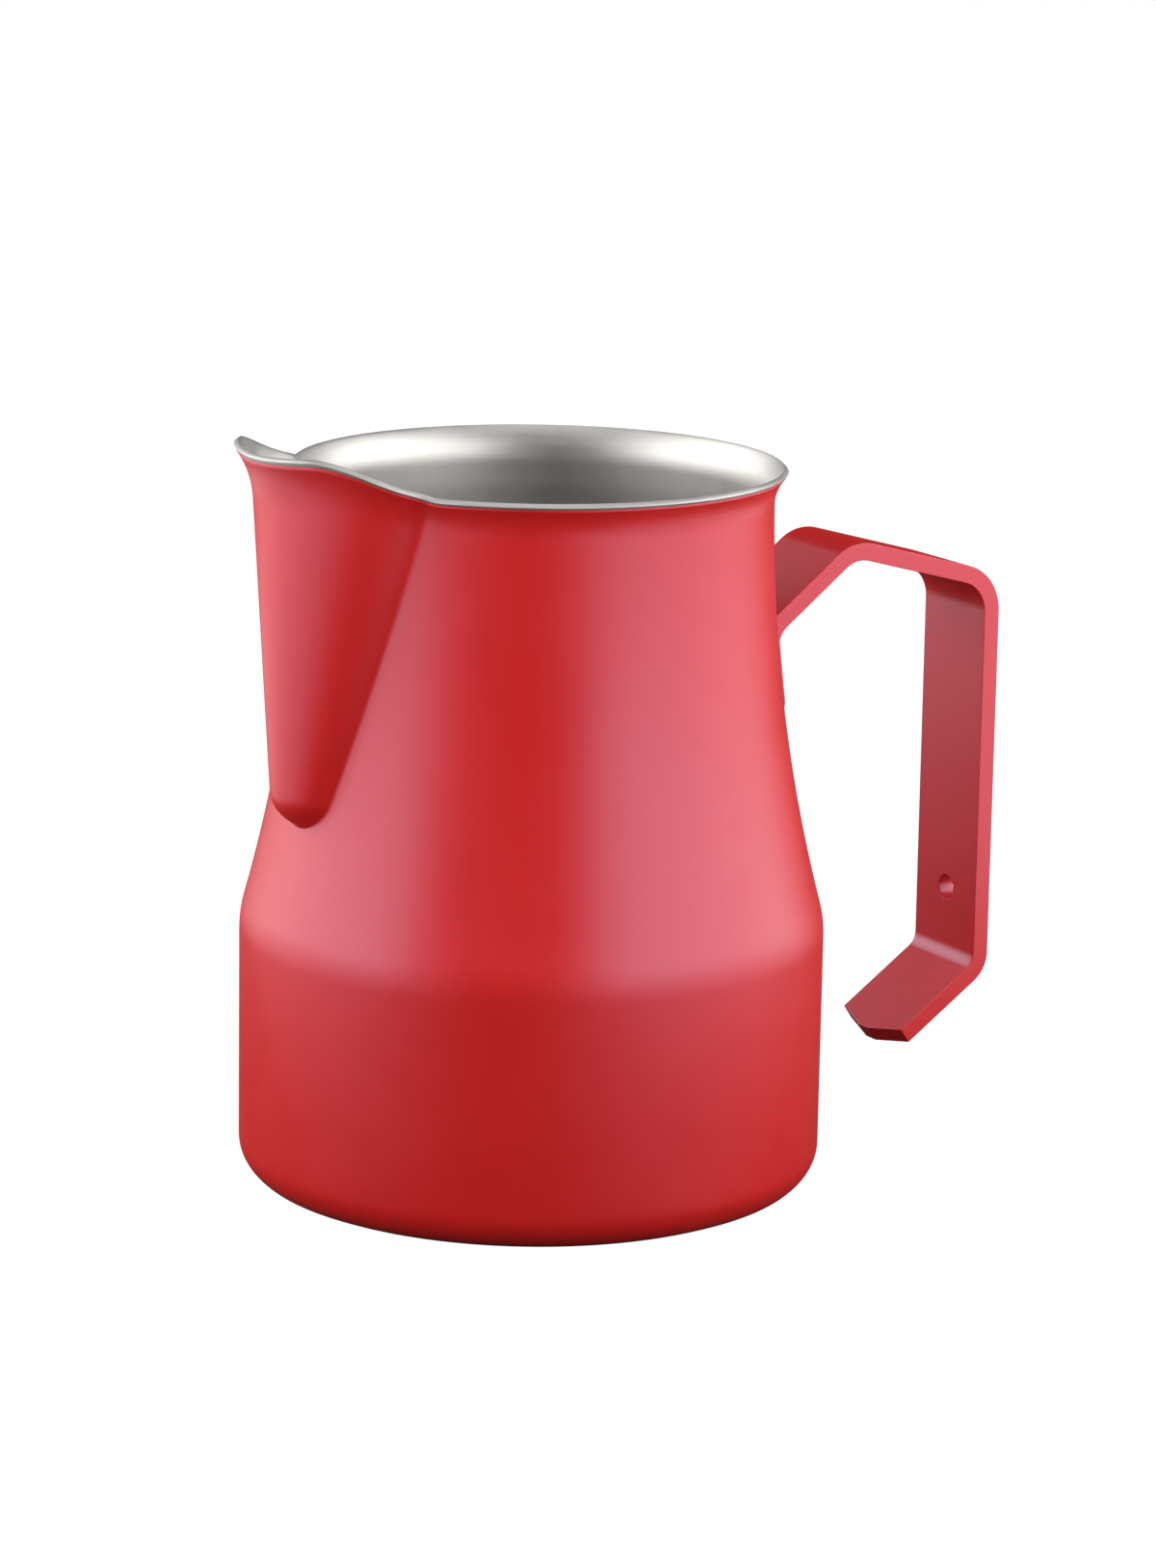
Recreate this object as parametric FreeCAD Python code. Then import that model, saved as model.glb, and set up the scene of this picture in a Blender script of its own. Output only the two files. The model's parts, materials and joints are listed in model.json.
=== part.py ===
"""Milk frothing pitcher: a deep-drawn steel vessel with a pressed spout, a bent steel strap
handle spot welded to its neck, and a baked red powder coat over the outside of both.

Frame: origin on the vessel's axis at the underside, +Z up, +X towards the handle, spout at -X.
Everything is mirror symmetric about the XZ plane. Millimetres.
"""
import FreeCAD, Part
import math
import os

V = FreeCAD.Vector

# Drawn vessel, outside faces of the bare steel
body_radius = 42.5
base_corner_radius = 5.5
shoulder_height = 36.5       # top of the straight lower wall
shoulder_radius = 17.5       # bend from the straight wall into the tapered one
neck_radius = 33.75
rim_height = 104.6           # the level part of the rim
neck_collar = 3.1            # upright stretch between the tapered wall and the rim
lip_flare = 2.0              # how far the lip turns out past the neck
lip_height = 4.8             # height over which it turns out
wall_thickness = 0.8
base_bead_inset = 4.5        # middle of the stiffening groove, in from the base corner
base_bead_width = 4.0
base_bead_rise = 0.7

# Pressed spout on the -X side: its level sections are circles that grow towards the rim
spout_drop = 44.1            # from the level rim down to the lowest full section
spout_low_radius = 7.1
spout_low_proud = 4.6        # front of that section, out from the round wall
spout_rim_radius = 18.5
spout_rim_proud = 9.9
spout_nose_depth = 5.0       # below the lowest full section the front curves back in
spout_crease_blend = 1.3     # softness of the crease between the wall and the spout
spout_rim_rise = 5.4         # sides of the spout above the level rim
spout_tip_dip = 1.0          # how far the very tip is turned down again
spout_lip_flare = 2.4
spout_lip_height = 7.5

# Handle strap: corners of the bent strip's upper and outer face in the XZ plane
strap_width = 15.4
strap_thickness = 2.4
strap_edge_radius = 0.5
foot_below_rim = 25.4        # top of the foot that lies on the neck
foot_length = 13.7
top_bend_out = 15.85         # out from the neck
top_bend_below_rim = 13.3
grip_top_out = 33.5          # out from the body
grip_top_below_rim = 20.4
grip_low_out = 33.7
grip_low_height = 22.8
tail_end_out = 18.2
tail_end_height = 12.0
foot_bend_radius = 6.0
top_bend_radius = 7.0
grip_top_radius = 7.5
grip_low_radius = 5.2
tail_clip_across = 6.5       # the free end is clipped to a blunt point
tail_clip_along = 1.9
foot_corner_radius = 3.0
hang_hole_radius = 2.0
hang_hole_above_bend = 11.5  # from the low corner of the grip up to the hole

# Spot welds between the foot and the wall
weld_radius = 2.0
weld_spacing = 7.0
weld_depth = 0.4             # depth of each nugget in the wall, and again in the foot

# Powder coat
coat_thickness = 0.12
coat_rim_gap = 0.35          # bare steel left at the rim
coat_base_angle = 55.0       # the coat ends here on the base corner, degrees below the side

# Grid of points that the drawn wall's smooth surfaces run through
crease_lines = (0.0, 0.8, 1.6, 2.5, 3.7, 5.2)      # upright lines beside the crease, degrees off it
front_lines = 4              # from the front of the spout to the crease
back_lines = 14              # from the crease to the back
nose_line_angle = 8.0        # the lines along the crease come no nearer the front than this
nose_line_blend = 2.0
slope_step = 1e-4            # half step of the differences that give the normal, mm and radians

# Heights that follow
neck_height = rim_height - neck_collar
lip_base = rim_height - spout_lip_height      # above this the grid's levels follow the rim
spout_low_height = rim_height - spout_drop
foot_high_height = rim_height - foot_below_rim
foot_low_height = foot_high_height - foot_length


def mix(a, b, share):
    return a + (b - a) * share


def smooth_step(low, high, value):
    share = min(1.0, max(0.0, (value - low) / (high - low)))
    return share * share * (3.0 - 2.0 * share)


def smooth_max(a, b, blend):
    """The larger of a and b, rounded off where they differ by less than blend."""
    near = max(blend - abs(a - b), 0.0) / blend
    return max(a, b) + near * near * blend / 4.0


# The shoulder arc and the neck arc touch, and the neck arc ends upright at neck_height.
wall_draw_in = body_radius - neck_radius
wall_draw_up = neck_height - shoulder_height
arc_radii_sum = (wall_draw_in ** 2 + wall_draw_up ** 2) / (2.0 * wall_draw_in)
neck_arc_radius = arc_radii_sum - shoulder_radius
arcs_touch_height = shoulder_height + shoulder_radius * wall_draw_up / arc_radii_sum


def round_wall_radius(z):
    """Outside radius of the round vessel above its base corner, without spout and lip."""
    if z <= shoulder_height:
        return body_radius
    if z <= arcs_touch_height:
        rise = z - shoulder_height
        return body_radius - shoulder_radius + math.sqrt(shoulder_radius ** 2 - rise ** 2)
    below = max(neck_height - z, 0.0)
    return neck_radius + neck_arc_radius - math.sqrt(neck_arc_radius ** 2 - below ** 2)


spout_low_reach = round_wall_radius(spout_low_height) + spout_low_proud
spout_rim_reach = neck_radius + spout_rim_proud


def spout_circle(z):
    """Distance of the spout section's centre from the axis, and its radius, at height z."""
    share = (z - spout_low_height) / spout_drop
    radius = mix(spout_low_radius, spout_rim_radius, share)
    centre = mix(spout_low_reach, spout_rim_reach, share) - radius
    below = max(spout_low_height - z, 0.0) / spout_nose_depth
    return centre, radius * math.sqrt(max(1.0 - below ** 2, 0.0))


def crease_angle(z):
    """Angle from -X at which the spout's circle crosses the round wall, 0 below the spout."""
    wall = round_wall_radius(z)
    centre, radius = spout_circle(z)
    if centre + radius <= wall:
        return 0.0
    cosine = (wall ** 2 + centre ** 2 - radius ** 2) / (2.0 * wall * centre)
    return math.acos(min(1.0, cosine))


rim_crease = crease_angle(rim_height)


def spout_share(angle):
    """1 at the front of the spout, falling to 0 a little past the crease."""
    off_front = abs(math.remainder(angle, 2.0 * math.pi))
    return 1.0 - smooth_step(0.42 * rim_crease, 1.15 * rim_crease, off_front)


def rim_z(angle):
    off_front = abs(math.remainder(angle, 2.0 * math.pi))
    dip = 1.0 - smooth_step(0.0, 0.8 * rim_crease, off_front)
    return rim_height + spout_rim_rise * spout_share(angle) - spout_tip_dip * dip


def lip_turn(angle, below_rim):
    """How far the lip has turned out at a distance below the rim."""
    share = spout_share(angle)
    height = mix(lip_height, spout_lip_height, share)
    flare = mix(lip_flare, spout_lip_flare, share)
    rise = max(height - below_rim, 0.0)
    arc = (height ** 2 + flare ** 2) / (2.0 * flare)
    return arc - math.sqrt(arc ** 2 - rise ** 2)


def wall_radius(angle, z):
    """Outside radius of the vessel with its spout and lip."""
    wall = round_wall_radius(z)
    centre, radius = spout_circle(z)
    beside = centre * math.sin(angle)
    front = centre * math.cos(angle) + math.sqrt(max(radius ** 2 - beside ** 2, 0.0))
    if radius <= 0.0 or math.cos(angle) <= 0.0:
        front = 0.0
    return smooth_max(wall, front, spout_crease_blend) + lip_turn(angle, rim_z(angle) - z)


def wall_point(angle, t):
    """Outside of the wall. t is -1 to 0 round the base corner, then the height above it."""
    if t < 0.0:
        turn = t * math.pi / 2.0
        r = body_radius - base_corner_radius * (1.0 - math.cos(turn))
        z = base_corner_radius * (1.0 + math.sin(turn))
    else:
        z = base_corner_radius + t
        if z > lip_base:
            z = lip_base + (z - lip_base) * (rim_z(angle) - lip_base) / (rim_height - lip_base)
        r = wall_radius(angle, z)
    return V(-r * math.cos(angle), r * math.sin(angle), z)


def skin_point(angle, t, push):
    """The wall's outside moved along its normal: outwards for the coat, inwards for the bore."""
    across = wall_point(angle + slope_step, t) - wall_point(angle - slope_step, t)
    up = wall_point(angle, t + slope_step) - wall_point(angle, t - slope_step)
    normal = up.cross(across)
    normal.normalize()
    return wall_point(angle, t) + normal * push


def ring_angles(z):
    """Angles of the grid's upright lines at height z. They crowd together along the crease and
    spread out again below the spout.
    """
    below = 1.0 - smooth_step(shoulder_height, spout_low_height, z)
    least = mix(math.radians(nose_line_angle), crease_angle(lip_base), below)
    crease = smooth_max(crease_angle(z), least, math.radians(nose_line_blend))
    near = [crease - math.radians(off) for off in reversed(crease_lines)]
    near += [crease + math.radians(off) for off in crease_lines[1:]]
    front = [near[0] * k / front_lines for k in range(front_lines)]
    back = [mix(near[-1], math.pi, k / back_lines) for k in range(1, back_lines + 1)]
    half = front + near + back
    return half + [2.0 * math.pi - angle for angle in reversed(half[1:-1])]


wall_top = rim_height - base_corner_radius    # the last row, as a value of t
coat_top = wall_top - coat_rim_gap
coat_foot = -coat_base_angle / 90.0


def grid_rows():
    """The grid's levels as values of t, closest together where the wall bends."""
    corner = [-1.0, mix(-1.0, coat_foot, 0.5)] + [coat_foot * k / 4.0 for k in (4, 3, 2, 1)]
    bend_low = shoulder_height - base_corner_radius
    bend_high = arcs_touch_height - base_corner_radius
    straight = [bend_low * share for share in (0.0, 0.03, 0.1, 0.3, 0.55, 0.75, 0.9)]
    bend = [mix(bend_low, bend_high, k / 3.0) for k in range(4)]
    nose = spout_low_height - spout_nose_depth - base_corner_radius
    taper = [mix(bend_high, nose, share) for share in (0.33, 0.66, 0.88, 0.95)]
    tuck = [nose + spout_nose_depth * k * k / 100.0 for k in range(13)]
    lip = wall_top - spout_lip_height
    neck = [mix(tuck[-1], lip, k / 8.0) for k in range(1, 9)]
    rim = [mix(lip, coat_top, k / 8.0) for k in range(1, 9)]
    return corner + straight + bend + taper + tuck + neck + rim + [wall_top]


def skin_surface(push, rows):
    """Smooth closed surface through the grid, periodic round the axis."""
    rings = []
    for t in rows:
        z = wall_point(math.pi, t).z
        points = [skin_point(angle, t, push) for angle in ring_angles(z)]
        ring = Part.BSplineCurve()
        ring.interpolate(Points=points, PeriodicFlag=True, Parameters=ring_parameters)
        rings.append(ring)
    columns = []
    for poles in zip(*[ring.getPoles() for ring in rings]):
        column = Part.BSplineCurve()
        column.interpolate(Points=list(poles), Parameters=row_parameters(rows))
        columns.append(column)
    surface = Part.BSplineSurface()
    surface.buildFromPolesMultsKnots(
        [column.getPoles() for column in columns],
        rings[0].getMultiplicities(),
        columns[0].getMultiplicities(),
        rings[0].getKnots(),
        columns[0].getKnots(),
        True,
        False,
        3,
        3,
    )
    return surface


ring_parameters = ring_angles(lip_base) + [2.0 * math.pi]


def row_parameters(rows):
    """Distance run along the wall's profile at each row."""
    run = [0.0]
    for low, high in zip(rows, rows[1:]):
        step = wall_point(math.pi, high) - wall_point(math.pi, low)
        run.append(run[-1] + step.Length)
    return run


def row_edge(surface, at):
    return surface.vIso(at).toShape()


def disc(edge):
    return Part.Face(Part.Wire([edge]))


def closed_solid(faces):
    shell = Part.makeShell(faces)
    shell.sewShape()
    solid = Part.makeSolid(shell)
    if solid.Volume < 0.0:
        solid.reverse()
    return solid


def sleeve(outside, inside, low, high):
    """Thin solid between two nested surfaces, from one level of the grid to another."""
    faces = [surface.toShape(0.0, 2.0 * math.pi, low, high) for surface in (outside, inside)]
    for at in (low, high):
        faces.append(Part.makeRuledSurface(row_edge(outside, at), row_edge(inside, at)))
    return closed_solid(faces)


def largest(shape):
    return max(shape.Solids, key=lambda solid: solid.Volume)


def base_bead(z):
    """Ring with 45 degree sides: the groove pressed up into the base from level z."""
    far = body_radius - base_corner_radius - base_bead_inset + base_bead_width / 2.0
    near = far - base_bead_width
    disc_out = Part.makeCone(far, far - base_bead_rise, base_bead_rise, V(0, 0, z))
    disc_in = Part.makeCone(near, near + base_bead_rise, base_bead_rise, V(0, 0, z))
    return disc_out.cut(disc_in)


def make_vessel(outer, bore, run):
    faces = [outer.toShape(), bore.toShape()]
    faces.append(Part.makeRuledSurface(row_edge(outer, run[-1]), row_edge(bore, run[-1])))
    faces += [disc(row_edge(surface, run[0])) for surface in (outer, bore)]
    return closed_solid(faces).fuse(base_bead(wall_thickness)).cut(base_bead(0.0))


def offset_corners(corners, distance):
    """The corners of a bent line moved sideways, to the left of its direction of travel."""
    ways = [(b - a).normalize() for a, b in zip(corners, corners[1:])]
    lefts = [V(-way.z, 0, way.x) for way in ways]
    moved = [corners[0] + lefts[0] * distance]
    for corner, left, after in zip(corners[1:], lefts, lefts[1:]):
        moved.append(corner + (left + after) * (distance / (1.0 + left.dot(after))))
    moved.append(corners[-1] + lefts[-1] * distance)
    return moved


def bent_line(corners, radii):
    """Edges of straight runs joined by tangent arcs."""
    edges = []
    start = corners[0]
    for corner, after, radius in zip(corners[1:-1], corners[2:], radii):
        back = (start - corner).normalize()
        ahead = (after - corner).normalize()
        half = math.acos(back.dot(ahead)) / 2.0
        inward = (back + ahead).normalize()
        enter = corner + back * (radius / math.tan(half))
        leave = corner + ahead * (radius / math.tan(half))
        middle = corner + inward * (radius / math.sin(half) - radius)
        edges.append(Part.LineSegment(start, enter).toShape())
        edges.append(Part.Arc(enter, middle, leave).toShape())
        start = leave
    edges.append(Part.LineSegment(start, corners[-1]).toShape())
    return edges


def foot_seat_x(z):
    """Where the back of the flat foot would lie for its side edges to touch the round neck."""
    return math.sqrt(round_wall_radius(z) ** 2 - (strap_width / 2.0) ** 2)


strap_corners = [
    V(foot_seat_x(foot_low_height), 0, foot_low_height),
    V(foot_seat_x(foot_high_height), 0, foot_high_height),
    V(neck_radius + top_bend_out, 0, rim_height - top_bend_below_rim),
    V(body_radius + grip_top_out, 0, rim_height - grip_top_below_rim),
    V(body_radius + grip_low_out, 0, grip_low_height),
    V(body_radius + tail_end_out, 0, tail_end_height),
]
strap_radii = [foot_bend_radius, top_bend_radius, grip_top_radius, grip_low_radius]


def stretched_ends(corners, extra):
    """The same bent line, longer by extra at both ends."""
    first = corners[0] + (corners[0] - corners[1]).normalize() * extra
    last = corners[-1] + (corners[-1] - corners[-2]).normalize() * extra
    return [first] + corners[1:-1] + [last]


def end_edges(solid, end, length):
    """The edges across the strip's thickness beside one of its ends."""
    near = strap_width / 2.0 + strap_thickness
    return [
        edge
        for edge in solid.Edges
        if (edge.CenterOfMass - end).Length < near and abs(edge.Length - length) < 1e-6
        and abs(abs(edge.CenterOfMass.y) - solid.BoundBox.YMax) < 1e-6
    ]


def side_edges(solid):
    side = solid.BoundBox.YMax
    return [edge for edge in solid.Edges if abs(abs(edge.CenterOfMass.y) - side) < 1e-6]


def tail_clips(grow):
    """Two blocks that clip the free end's corners, each grow outside its finished cut."""
    back = (strap_corners[-2] - strap_corners[-1]).normalize()
    through = back.cross(V(0, 1, 0))
    slant = math.hypot(tail_clip_along, tail_clip_across)
    blocks = []
    for side in (V(0, -1, 0), V(0, 1, 0)):
        along = back * tail_clip_along + side * tail_clip_across
        out = (side * tail_clip_along - back * tail_clip_across) * (1.0 / slant)
        first = strap_corners[-1] + side * (strap_width / 2.0 - tail_clip_across) + out * grow
        first = first - along - through * (2.0 * strap_thickness)
        away = out * tail_clip_across
        loop = [first, first + along * 3.0, first + along * 3.0 + away, first + away, first]
        blocks.append(Part.Face(Part.makePolygon(loop)).extrude(through * (4.0 * strap_thickness)))
    return blocks


def strap_blank(grow):
    """The bent, clipped and rounded strip, larger by grow all round."""
    corners = stretched_ends(strap_corners, grow)
    upper = bent_line(offset_corners(corners, grow), [r + grow for r in strap_radii])
    depth = strap_thickness + grow
    lower = bent_line(offset_corners(corners, -depth), [r - depth for r in strap_radii])
    ends = []
    for a, b in ((0, 0), (-1, -1)):
        top = upper[a].Vertexes[a].Point
        bottom = lower[b].Vertexes[b].Point
        ends.append(Part.LineSegment(top, bottom).toShape())
    outline = Part.Wire(Part.__sortEdges__(upper + lower + ends))
    width = strap_width + 2.0 * grow
    blank = Part.Face(outline).extrude(V(0, width, 0))
    blank.translate(V(0, -width / 2.0, 0))
    across = strap_thickness + 2.0 * grow
    blank = blank.cut(tail_clips(grow))
    blank = blank.makeFillet(foot_corner_radius, end_edges(blank, corners[0], across))
    blank = blank.makeFillet(strap_edge_radius + grow, side_edges(blank))
    return blank.cut(hang_hole(hang_hole_radius - grow))


def hang_hole_centre():
    """Middle of the hole, halfway through the strip."""
    up = (strap_corners[3] - strap_corners[4]).normalize()
    inward = V(-up.z, 0, up.x)
    return strap_corners[4] + up * hang_hole_above_bend + inward * (strap_thickness / 2.0)


def hang_hole(radius):
    up = (strap_corners[3] - strap_corners[4]).normalize()
    inward = V(-up.z, 0, up.x)
    reach = 2.0 * strap_thickness
    return Part.makeCylinder(radius, 2.0 * reach, hang_hole_centre() - inward * reach, inward)


def weld_nuggets():
    """Round nuggets of fused metal, half in the wall and half in the foot."""
    middle = (foot_low_height + foot_high_height) / 2.0 - strap_thickness / 2.0
    nuggets = []
    for z in (middle - weld_spacing / 2.0, middle + weld_spacing / 2.0):
        below = round_wall_radius(z - 1.0)
        above = round_wall_radius(z + 1.0)
        normal = V(2.0, 0, below - above).normalize()
        start = V(round_wall_radius(z), 0, z) - normal * weld_depth
        nuggets.append(Part.makeCylinder(weld_radius, 2.0 * weld_depth, start, normal))
    return Part.makeCompound(nuggets)


def main():
    rows = grid_rows()
    run = row_parameters(rows)
    outer = skin_surface(0.0, rows)
    bore = skin_surface(-wall_thickness, rows)
    coat = skin_surface(coat_thickness, rows)
    nuggets = weld_nuggets()
    blank = strap_blank(0.0)
    drawn = make_vessel(outer, bore, run)
    coated = sleeve(coat, outer, run[rows.index(coat_foot)], run[rows.index(coat_top)])

    parts = {
        "vessel": drawn.cut(nuggets),
        "handle_strap": largest(blank.cut(drawn)).cut(nuggets),
        "spot_welds": nuggets,
        "vessel_coat": coated.cut(blank),
        "handle_coat": largest(strap_blank(coat_thickness).cut([blank, coated, drawn])),
    }
    os.makedirs("parts", exist_ok=True)
    for name, shape in parts.items():
        shape.exportStep("parts/" + name + ".step")
        print(name, shape.isValid(), len(shape.Solids), round(shape.Volume, 1))


main()
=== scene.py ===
# %% [markdown]
# # A powder-coated milk frothing pitcher
#
# The real object is a steel cup, deep-drawn from one disc, with a spout pressed out of its neck.
# A bent steel strip is spot welded to the neck as a handle, and a red powder coat is baked over
# the outside of both. The inside and the cut edge of the rim stay bare satin steel.
#
# The CAD model is loaded first and stays fixed. It says where everything is. The pieces made
# below stand where its parts stand and add what the CAD leaves out: smooth pressed surfaces with
# rounded edges, and the finishes.
#
# The frame is the CAD's: metres, origin under the middle of the base, +Z up, spout to -X,
# handle to +X.

# %% Load the fixed frame
import json
import math

import bmesh
import bpy
from mathutils import Matrix, Quaternion, Vector


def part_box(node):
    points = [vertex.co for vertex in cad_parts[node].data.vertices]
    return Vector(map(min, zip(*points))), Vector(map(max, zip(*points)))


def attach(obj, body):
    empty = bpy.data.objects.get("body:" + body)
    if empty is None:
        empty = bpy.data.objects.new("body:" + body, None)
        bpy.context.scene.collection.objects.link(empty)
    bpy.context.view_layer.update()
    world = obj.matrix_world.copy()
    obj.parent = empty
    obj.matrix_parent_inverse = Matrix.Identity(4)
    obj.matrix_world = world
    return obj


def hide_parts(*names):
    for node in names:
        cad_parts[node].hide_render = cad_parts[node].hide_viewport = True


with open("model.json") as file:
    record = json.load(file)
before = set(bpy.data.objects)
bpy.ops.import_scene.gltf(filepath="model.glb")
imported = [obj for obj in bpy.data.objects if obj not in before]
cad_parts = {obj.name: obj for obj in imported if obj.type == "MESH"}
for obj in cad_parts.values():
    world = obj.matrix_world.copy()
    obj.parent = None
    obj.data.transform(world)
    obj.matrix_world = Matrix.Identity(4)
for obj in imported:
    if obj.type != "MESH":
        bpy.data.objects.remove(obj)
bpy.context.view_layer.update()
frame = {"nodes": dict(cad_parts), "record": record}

mm = 0.001

# %% [markdown]
# ## Sizes
#
# A few sizes can be read off the frame: how wide the body is, how thick the powder is and how
# wide the strip is. The rest are the driving dimensions of the pressing tools and of the bending
# jig, named once here.

# %% Sizes of the drawn cup
body_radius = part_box("vessel")[1].y
coat_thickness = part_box("vessel_coat")[1].y - body_radius
wall_thickness = 0.8 * mm
base_corner_radius = 5.5 * mm
shoulder_height = 36.5 * mm      # top of the upright lower wall
shoulder_radius = 17.5 * mm
neck_radius = 33.75 * mm
rim_height = 104.6 * mm          # the level part of the rim
neck_height = rim_height - 3.1 * mm
lip_flare, lip_height = 2.0 * mm, 4.8 * mm
bead_radius, bead_half_width, bead_rise = 32.5 * mm, 2.0 * mm, 0.7 * mm
rim_gap = 0.35 * mm              # bare steel left between the coat and the rim
coat_foot_turn = math.radians(90.0 - 55.0)      # where the coat ends on the base corner

# %% Sizes of the spout
spout_drop = 44.1 * mm
spout_low_radius, spout_low_proud = 7.1 * mm, 4.6 * mm
spout_rim_radius, spout_rim_proud = 18.5 * mm, 9.9 * mm
spout_nose_depth = 5.0 * mm
spout_crease_blend = 1.3 * mm    # softness of the crease between the wall and the spout
spout_lip_flare, spout_lip_height = 2.4 * mm, 7.5 * mm
spout_rim_rise = 5.4 * mm        # sides of the spout above the level rim
spout_tip_dip = 1.0 * mm         # how far the very tip is turned down again
spout_low_height = rim_height - spout_drop
nose_height = spout_low_height - spout_nose_depth
lip_base = rim_height - spout_lip_height
print("body radius and coat, mm:", round(body_radius / mm, 2), round(coat_thickness / mm, 3))

# %% [markdown]
# ## Sums that become nodes
#
# The wall follows a rule: arcs in profile, circles for the spout, and soft blends between them.
# Geometry Nodes can work that rule out for every point of a grid, but a long sum is hard to read
# as a heap of Math nodes. This small class lets the sum be written the usual way. Each `+`, `*`
# or `math("SINE")` adds one Math node to the tree and passes its output on.

# %% A number that writes its own Math nodes
class Number:
    def __init__(self, tree, socket):
        self.tree = tree
        self.socket = socket

    def math(self, operation, *others):
        node = self.tree.nodes.new("ShaderNodeMath")
        node.operation = operation
        for slot, value in zip(node.inputs, (self, *others)):
            feed(self.tree, value, slot)
        return Number(self.tree, node.outputs[0])

    def __add__(self, other):
        return self.math("ADD", other)

    def __sub__(self, other):
        return self.math("SUBTRACT", other)

    def __rsub__(self, other):
        return self.math("MULTIPLY", -1.0).math("ADD", other)

    def __mul__(self, other):
        return self.math("MULTIPLY", other)

    def __truediv__(self, other):
        return self.math("DIVIDE", other)

    __radd__ = __add__
    __rmul__ = __mul__


def feed(tree, value, slot):
    """Links a Number or a socket to an input, or sets the input to a plain value."""
    if isinstance(value, Number):
        value = value.socket
    if isinstance(value, bpy.types.NodeSocket):
        tree.links.new(value, slot)
    else:
        slot.default_value = value


def root(x):
    return x.math("SQRT")


def larger(a, b):
    return a.math("MAXIMUM", b)


def within(x, low, high):
    return x.math("MAXIMUM", low).math("MINIMUM", high)


def ramp(x, low, high):
    """0 up to low, 1 from high on, and straight in between."""
    return within((x - low) / (high - low), 0.0, 1.0)


def smooth_ramp(x, low, high):
    share = ramp(x, low, high)
    return share * share * (3.0 - 2.0 * share)


def mix(a, b, share):
    return share * (b - a) + a


def soft_larger(a, b, blend):
    """The larger of a and b, rounded off where they differ by less than blend."""
    near = larger(blend - (a - b).math("ABSOLUTE"), 0.0) / blend
    return larger(a, b) + near * near * (blend / 4.0)


# %% [markdown]
# ## The rule of the wall
#
# In profile the wall is an upright cylinder, a shoulder arc and a long neck arc that touch each
# other, and a short upright collar. Each level section of the spout is a circle. It grows towards
# the rim and stands a little further out, and the outline is whichever is further out, the round
# wall or that circle, with a soft crease between. The last few millimetres turn out as the lip,
# and in front of the spout the rim itself rises, with a slight dip at the very tip.

# %% Arcs of the profile
draw_in = body_radius - neck_radius
draw_up = neck_height - shoulder_height
arc_radii_sum = (draw_in ** 2 + draw_up ** 2) / (2.0 * draw_in)
neck_arc_radius = arc_radii_sum - shoulder_radius
arcs_touch_height = shoulder_height + shoulder_radius * draw_up / arc_radii_sum
print("neck arc radius, mm:", round(neck_arc_radius / mm, 1))


def round_wall(z):
    """Outside radius of the round wall above the base corner."""
    shoulder_rise = larger(z - shoulder_height, 0.0)
    shoulder = root(shoulder_radius ** 2 - shoulder_rise * shoulder_rise)
    shoulder = shoulder + (body_radius - shoulder_radius)
    below = larger(neck_height - z, 0.0)
    neck = (neck_radius + neck_arc_radius) - root(neck_arc_radius ** 2 - below * below)
    return mix(shoulder, neck, z.math("GREATER_THAN", arcs_touch_height))


# %% Circle of the spout, and where it crosses the wall
touch_share = (neck_height - spout_low_height) / neck_arc_radius
low_wall_radius = neck_radius + neck_arc_radius * (1.0 - math.sqrt(1.0 - touch_share ** 2))
spout_low_reach = low_wall_radius + spout_low_proud
spout_rim_reach = neck_radius + spout_rim_proud


def spout_circle(z):
    """How far the circle's centre is from the axis, and its radius."""
    share = (z - spout_low_height) / spout_drop
    full = mix(spout_low_radius, spout_rim_radius, share)
    centre = mix(spout_low_reach, spout_rim_reach, share) - full
    below = larger(spout_low_height - z, 0.0) / spout_nose_depth
    return centre, full * root(1.0 - below * below)


def crease_angle(z):
    """Angle from the front of the spout to the crease, and 0 where there is no spout."""
    wall = round_wall(z)
    centre, radius = spout_circle(z)
    cosine = (wall * wall + centre * centre - radius * radius) / (2.0 * wall * centre)
    return cosine.math("ARCCOSINE")


def crease_angle_at(wall, centre, radius):
    return math.acos((wall ** 2 + centre ** 2 - radius ** 2) / (2.0 * wall * centre))


rim_crease = crease_angle_at(neck_radius, spout_rim_reach - spout_rim_radius, spout_rim_radius)
lip_share = (lip_base - spout_low_height) / spout_drop
lip_circle_radius = spout_low_radius + (spout_rim_radius - spout_low_radius) * lip_share
lip_circle_reach = spout_low_reach + (spout_rim_reach - spout_low_reach) * lip_share
lip_wall = neck_radius + (neck_height - lip_base) ** 2 / (2.0 * neck_arc_radius)
lip_crease = crease_angle_at(lip_wall, lip_circle_reach - lip_circle_radius, lip_circle_radius)
print("crease at the rim, degrees:", round(math.degrees(rim_crease), 1))


# %% Lip, rim and the whole wall
def spout_share(angle):
    """1 in front of the spout, falling to 0 a little past the crease."""
    return 1.0 - smooth_ramp(angle.math("ABSOLUTE"), 0.42 * rim_crease, 1.15 * rim_crease)


def lip_turn(front, below_rim):
    """How far the lip has turned out. Front is the spout's share at that angle."""
    height = mix(lip_height, spout_lip_height, front)
    flare = mix(lip_flare, spout_lip_flare, front)
    rise = larger(height - below_rim, 0.0)
    arc = (height * height + flare * flare) / (2.0 * flare)
    return arc - root(arc * arc - rise * rise)


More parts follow.
